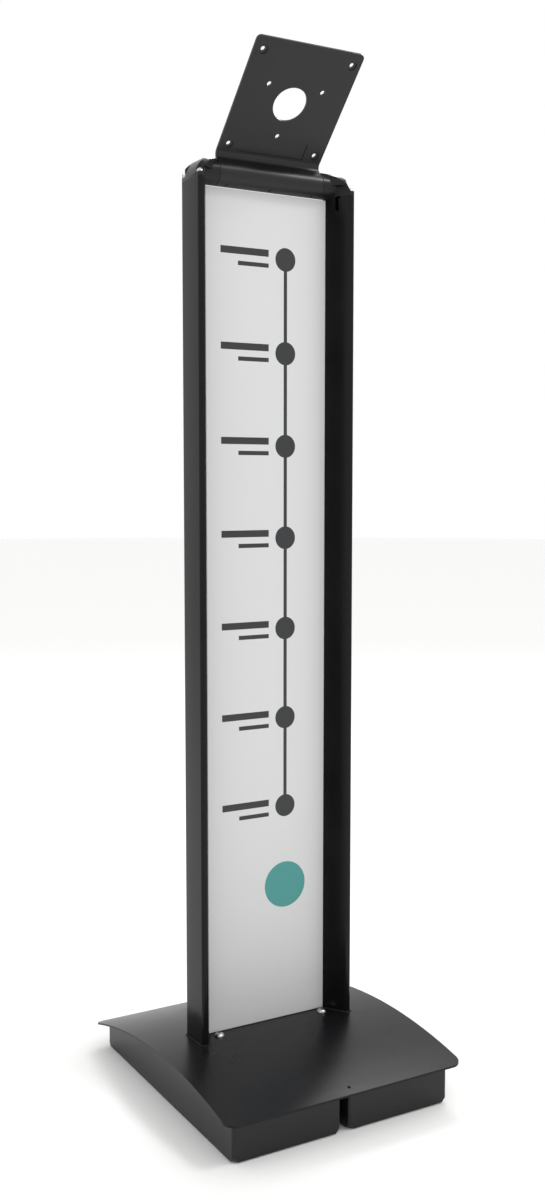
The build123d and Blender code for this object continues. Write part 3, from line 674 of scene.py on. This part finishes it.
def near(tree, value, middle, reach):
    """1 where the value is within reach of the middle, and 0 elsewhere."""
    inputs = {0: value, 1: middle, 2: reach}
    return add_node(tree, "ShaderNodeMath", inputs, operation="COMPARE").outputs[0]


def both_of(tree, first, second):
    """1 where both masks are 1."""
    return add_node(tree, "ShaderNodeMath", {0: first, 1: second}, operation="MULTIPLY").outputs[0]


def either_of(tree, first, second):
    """1 where one of the masks is 1."""
    return add_node(tree, "ShaderNodeMath", {0: first, 1: second}, operation="MAXIMUM").outputs[0]


def disc(tree, vector, radius):
    """1 within this radius of the vector's zero."""
    reach = add_node(tree, "ShaderNodeVectorMath", {0: vector}, operation="LENGTH").outputs["Value"]
    return add_node(tree, "ShaderNodeMath", {0: reach, 1: radius}, operation="LESS_THAN").outputs[0]


def less(tree, value, amount):
    """The value less this amount."""
    return add_node(tree, "ShaderNodeMath", {0: value, 1: amount}, operation="SUBTRACT").outputs[0]


across = less(tree, split.outputs["X"], LINE_X)
climb = less(tree, split.outputs["Z"], ROUTE_LOW)
one_pitch = {0: climb, 1: 0.5 * STOP_PITCH, 2: -0.5 * STOP_PITCH}
step = add_node(tree, "ShaderNodeMath", one_pitch, operation="WRAP").outputs[0]
stop = add_node(tree, "ShaderNodeCombineXYZ", {"X": across, "Z": step}).outputs[0]
marks = either_of(tree, disc(tree, stop, STOP_RADIUS), near(tree, across, 0.0, LINE_HALF_WIDTH))
for bar_x, bar_z, half_length, half_height in BARS:
    beside = near(tree, across, bar_x * MM, half_length * MM)
    level = near(tree, step, bar_z * MM, half_height * MM)
    marks = either_of(tree, marks, both_of(tree, beside, level))
ROUTE_MIDDLE = 0.5 * (ROUTE_LOW + ROUTE_HIGH)
ROUTE_REACH = 0.5 * (ROUTE_HIGH - ROUTE_LOW) + STOP_RADIUS
marks = both_of(tree, marks, near(tree, split.outputs["Z"], ROUTE_MIDDLE, ROUTE_REACH))
inked = add_node(
    tree,
    "ShaderNodeMix",
    {"Factor": marks, "A": paint("#cfcfd0"), "B": paint("#252628")},
    data_type="RGBA",
)
from_disc = add_node(tree, "ShaderNodeVectorMath", {0: spot, 1: DISC_PLACE}, operation="SUBTRACT")
flat = add_node(tree, "ShaderNodeVectorMath", {0: from_disc.outputs[0], 1: (1, 0, 1)}, operation="MULTIPLY")
inked = add_node(
    tree,
    "ShaderNodeMix",
    {"Factor": disc(tree, flat.outputs[0], DISC_RADIUS), "A": inked.outputs["Result"], "B": paint("#3f8e8a")},
    data_type="RGBA",
)
ripple_scale = 1 / (RIPPLE_SIZE * MM)
laminate = add_node(tree, "ShaderNodeTexNoise", {"Vector": spot, "Scale": ripple_scale, "Detail": 2.0})
ripple = laminate.outputs["Fac"]
gloss = add_node(tree, "ShaderNodeMapRange", {"Value": ripple, "To Min": 0.34, "To Max": 0.42})
relief = add_node(tree, "ShaderNodeBump", {"Height": ripple, "Strength": 0.05, "Distance": 0.1 * MM})
surface = add_node(
    tree,
    "ShaderNodeBsdfPrincipled",
    {"Base Color": inked.outputs["Result"], "Roughness": gloss.outputs[0], "Normal": relief.outputs[0]},
)
add_node(tree, "ShaderNodeOutputMaterial", {"Surface": surface.outputs[0]})
coat("panel_rear_print", print_film)
coat("panel_front_print", print_film)

# ---------------------------------------------------------------- post heads
# A cast aluminium cap on each post, with a stub that carries the axle.  Two small bright pan-head screws
# stand in scoops and hold it to the post.

head_coat = powder_coat(
    "head_powder_coat", "#131314", "#1a1a1b", roughness=0.30, peel=1.0, grain=0.25, ior=1.34
)
for side in ("left", "right"):
    eased(f"post_head_{side}", f"cap_{side}", "stand", head_coat, edge=0.35)

NOSE_PORTS = ((87.4 * MM, 17.0 * MM), (87.4 * MM, -14.0 * MM))
CAP_SEAT_Z = 940.2 * MM
cap_screw_places = [((side * x, y, CAP_SEAT_Z), (0, 0, 1)) for x, y in NOSE_PORTS for side in (1, -1)]
grown(
    "cap_screws",
    "stand",
    "stainless",
    domed_screw_tree("pan_head_screw", 32),
    aimed_points("cap_screws", cap_screw_places),
    {
        "Head radius": 3.5 * MM,
        "Head height": 3.4 * MM,
        "Shank radius": 1.95 * MM,
        "Shank length": 16.0 * MM,
        "Drive radius": 1.4 * MM,
        "Finish": stainless,
    },
    "head_screws",
)

# ---------------------------------------------------------------- tilt axle
# A ground stainless tube that reaches into both caps, with a thin nylon washer at each end of the bracket and a
# black set screw that locks it in each cap.

coat("tilt_axle", stainless)
nylon = rubber("black_nylon", "#101010", "#171717")
black_oxide = bare_steel(
    "black_oxide_steel", "#1b1b1c", "#2a2a2b", roughness=0.4, grain_length=2.0, grain_width=0.3
)
for side in ("left", "right"):
    coat(f"thrust_washer_{side}", nylon)
coat("axle_lock_screws", black_oxide)

# ---------------------------------------------------------------- tilting bracket
# One 2.5 mm steel sheet: a flat display plate with its holes, folded and rolled into a knuckle round the
# axle.  Fine matt black powder.  Friction sleeves of nylon sit inside the knuckle, each with a set screw.

bracket_coat = powder_coat(
    "bracket_powder_coat", "#131314", "#19191a", roughness=0.34, peel=0.9, grain=0.3, ior=1.4
)
eased("tilt_bracket", "display_bracket", "tilt_head", bracket_coat, edge=0.25)
coat("friction_sleeves", nylon)
coat("sleeve_lock_screws", black_oxide)
